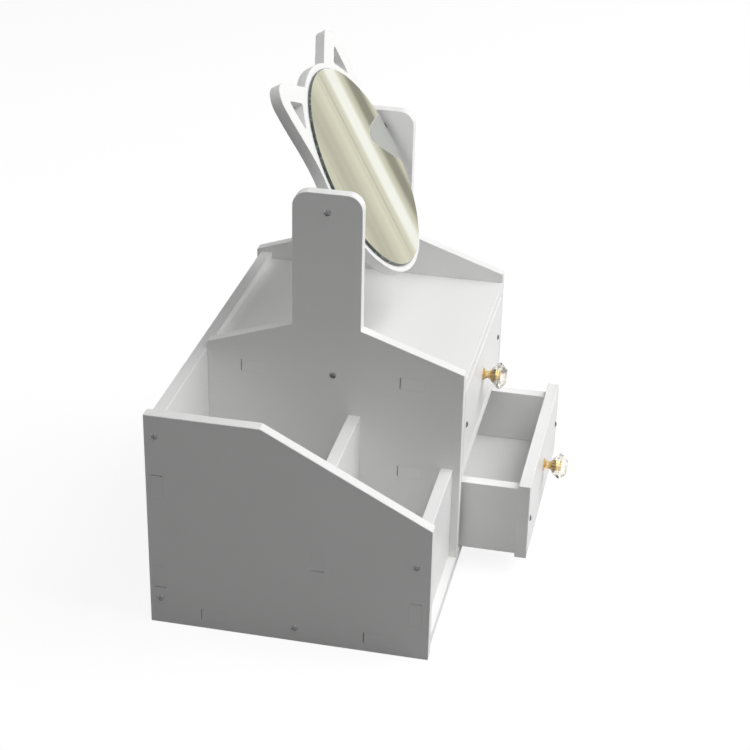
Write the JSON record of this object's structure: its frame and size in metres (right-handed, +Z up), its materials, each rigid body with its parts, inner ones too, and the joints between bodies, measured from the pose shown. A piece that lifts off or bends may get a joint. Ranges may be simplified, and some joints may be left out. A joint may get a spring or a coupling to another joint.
{
  "type": "vanity mirror with drawer",
  "caption": "White desktop vanity organiser: tilting round mirror with rounded ears between uprights, open caddy with divider, tray and stacked drawers with crystal knobs.",
  "frame": {"origin": "on the table, under the middle of the whole outline's width and depth, with the lower drawer open as in the picture", "axes": "+X to the right as seen from the front, -Y to the front, where the drawers open, and +Z up"},
  "size_m": [0.2682, 0.242, 0.3224],
  "materials": {
    "white_board": "smooth white satin surface on wood-plastic board",
    "gold": "polished gold plating",
    "crystal": "clear cut crystal",
    "steel": "zinc-plated steel",
    "mirror": "silvered glass with a dark edge"
  },
  "bodies": {
    "cabinet": {"left_side_panel": "white_board", "middle_panel": "white_board", "right_side_panel": "white_board", "base_board": "white_board", "back_board": "white_board", "caddy_front_board": "white_board", "caddy_divider": "white_board", "tray_board": "white_board", "drawer_shelf": "white_board", "left_panel_screws": "steel", "middle_panel_screws": "steel", "right_panel_screws": "steel", "base_screws": "steel", "back_board_screws": "steel"},
    "lower_drawer": {"lower_drawer_front": "white_board", "lower_drawer_left_side": "white_board", "lower_drawer_right_side": "white_board", "lower_drawer_back": "white_board", "lower_drawer_bottom": "white_board", "lower_drawer_screws": "steel", "lower_knob_base": "gold", "lower_knob_crystal": "crystal", "lower_knob_screw": "steel"},
    "upper_drawer": {"upper_drawer_front": "white_board", "upper_drawer_left_side": "white_board", "upper_drawer_right_side": "white_board", "upper_drawer_back": "white_board", "upper_drawer_bottom": "white_board", "upper_drawer_screws": "steel", "upper_knob_base": "gold", "upper_knob_crystal": "crystal", "upper_knob_screw": "steel"},
    "mirror": {"mirror_board": "white_board", "mirror_glass": "mirror", "mirror_pivot_screws": "steel", "mirror_washers": "steel"}
  },
  "joints": [
    {"name": "mirror_tilt", "type": "hinge", "parent": "cabinet", "child": "mirror", "pos_m": [0.049, 0.031, 0.2515], "axis": [1, 0, 0], "continuous": true},
    {"name": "lower_drawer_slide", "type": "slide", "parent": "cabinet", "child": "lower_drawer", "axis": [0, -1, 0], "range_m": [-0.0455, 0.0745]},
    {"name": "upper_drawer_slide", "type": "slide", "parent": "cabinet", "child": "upper_drawer", "axis": [0, -1, 0], "range_m": [0, 0.12]}
  ]
}
